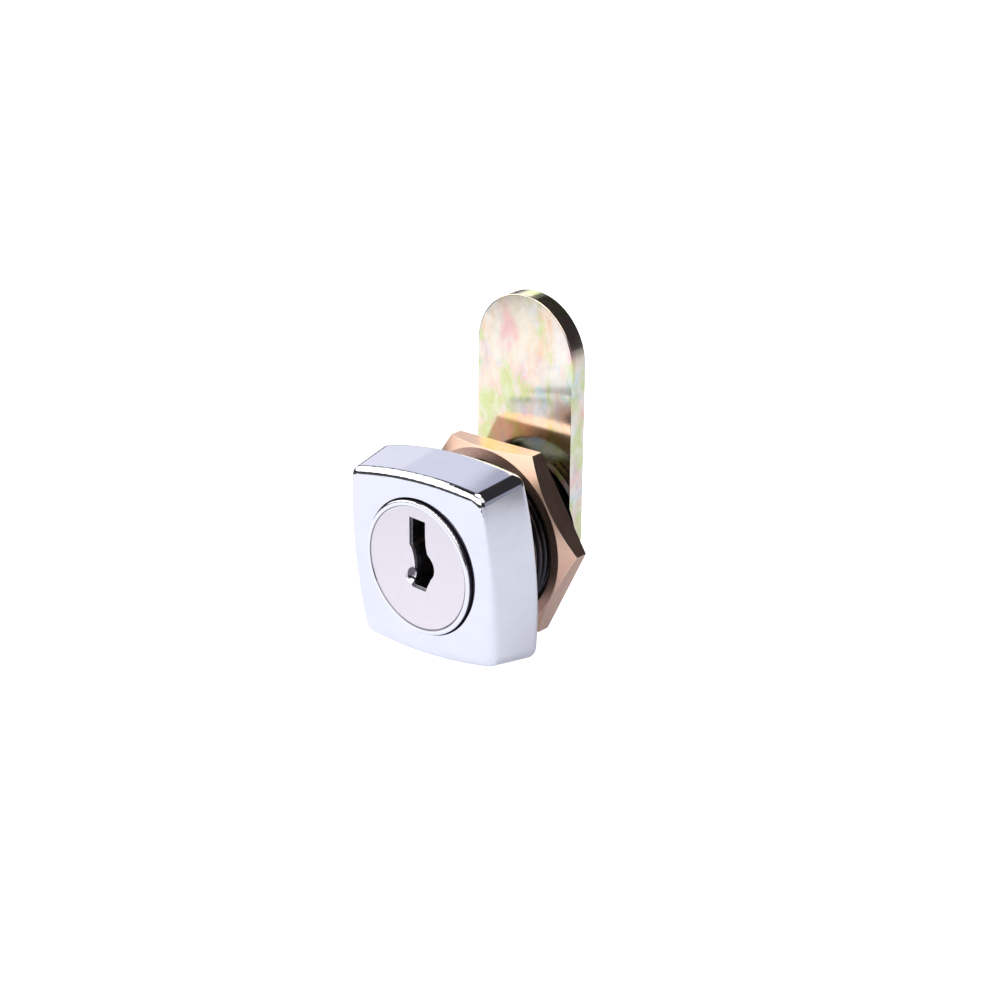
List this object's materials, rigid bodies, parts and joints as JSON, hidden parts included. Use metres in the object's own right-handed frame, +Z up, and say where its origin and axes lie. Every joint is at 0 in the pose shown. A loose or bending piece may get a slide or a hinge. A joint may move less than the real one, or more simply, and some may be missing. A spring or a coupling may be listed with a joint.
{
  "type": "cam lock",
  "caption": "Square-head cam lock: a keyed plug in a threaded barrel turns a long latch cam, and a hexagon nut clamps the barrel in its panel.",
  "frame": {"origin": "centre of the head's mounting face, on the lock's axis", "axes": "+Z up with the cam near 12 o'clock, +Y back along the barrel away from the key side, +X to the right seen from the key side"},
  "size_m": [0.0276, 0.0261, 0.0439],
  "materials": {
    "chrome_plate": "bright chrome plate on a zinc die-casting",
    "plug_zinc": "dull nickel plate on a zinc die-casting",
    "face_steel": "satin stainless sheet",
    "wafer_brass": "stamped",
    "spring_steel": "drawn wire",
    "washer_steel": "yellow-passivated zinc",
    "cam_zinc": "bright yellow-passivated zinc with rainbow tints",
    "screw_steel": "bright zinc plate",
    "nut_brass": "turned and milled, slightly oxidised"
  },
  "bodies": {
    "housing": {"housing": "chrome_plate"},
    "plug": {"plug": "plug_zinc", "face_cap": "face_steel", "stop_washer": "washer_steel", "cam": "cam_zinc", "lock_washer": "washer_steel", "cam_screw": "screw_steel", "wafer_spring_1": "spring_steel", "wafer_spring_2": "spring_steel", "wafer_spring_3": "spring_steel", "wafer_spring_4": "spring_steel", "wafer_spring_5": "spring_steel", "wafer_spring_6": "spring_steel", "retainer_spring": "spring_steel"},
    "wafer_1": {"wafer_1": "wafer_brass"},
    "wafer_2": {"wafer_2": "wafer_brass"},
    "wafer_3": {"wafer_3": "wafer_brass"},
    "wafer_4": {"wafer_4": "wafer_brass"},
    "wafer_5": {"wafer_5": "wafer_brass"},
    "wafer_6": {"wafer_6": "wafer_brass"},
    "retainer": {"retainer_wafer": "wafer_brass"},
    "nut": {"hex_nut": "nut_brass"}
  },
  "joints": [
    {"name": "plug_turn", "type": "hinge", "parent": "housing", "child": "plug", "pos_m": [0, 0, 0], "axis": [0, 1, 0], "range_deg": [-6, 84]},
    {"name": "wafer_1_slide", "type": "slide", "parent": "plug", "child": "wafer_1", "axis": [0.1097, 0, 0.994], "range_m": [-0.0009, 0], "stiffness_N_per_m": 100, "deforming": ["wafer_spring_1"]},
    {"name": "wafer_2_slide", "type": "slide", "parent": "plug", "child": "wafer_2", "axis": [0.1097, 0, 0.994], "range_m": [-0.0009, 0], "stiffness_N_per_m": 100, "deforming": ["wafer_spring_2"]},
    {"name": "wafer_3_slide", "type": "slide", "parent": "plug", "child": "wafer_3", "axis": [0.1097, 0, 0.994], "range_m": [-0.0009, 0], "stiffness_N_per_m": 100, "deforming": ["wafer_spring_3"]},
    {"name": "wafer_4_slide", "type": "slide", "parent": "plug", "child": "wafer_4", "axis": [0.1097, 0, 0.994], "range_m": [-0.0009, 0], "stiffness_N_per_m": 100, "deforming": ["wafer_spring_4"]},
    {"name": "wafer_5_slide", "type": "slide", "parent": "plug", "child": "wafer_5", "axis": [0.1097, 0, 0.994], "range_m": [-0.0009, 0], "stiffness_N_per_m": 100, "deforming": ["wafer_spring_5"]},
    {"name": "wafer_6_slide", "type": "slide", "parent": "plug", "child": "wafer_6", "axis": [0.1097, 0, 0.994], "range_m": [-0.0009, 0], "stiffness_N_per_m": 100, "deforming": ["wafer_spring_6"]},
    {"name": "retainer_slide", "type": "slide", "parent": "plug", "child": "retainer", "axis": [0.1097, 0, 0.994], "range_m": [0, 0.0009], "stiffness_N_per_m": 100, "deforming": ["retainer_spring"]},
    {"name": "nut_travel", "type": "slide", "parent": "housing", "child": "nut", "axis": [0, 1, 0], "range_m": [-0.0045, 0.003]}
  ]
}
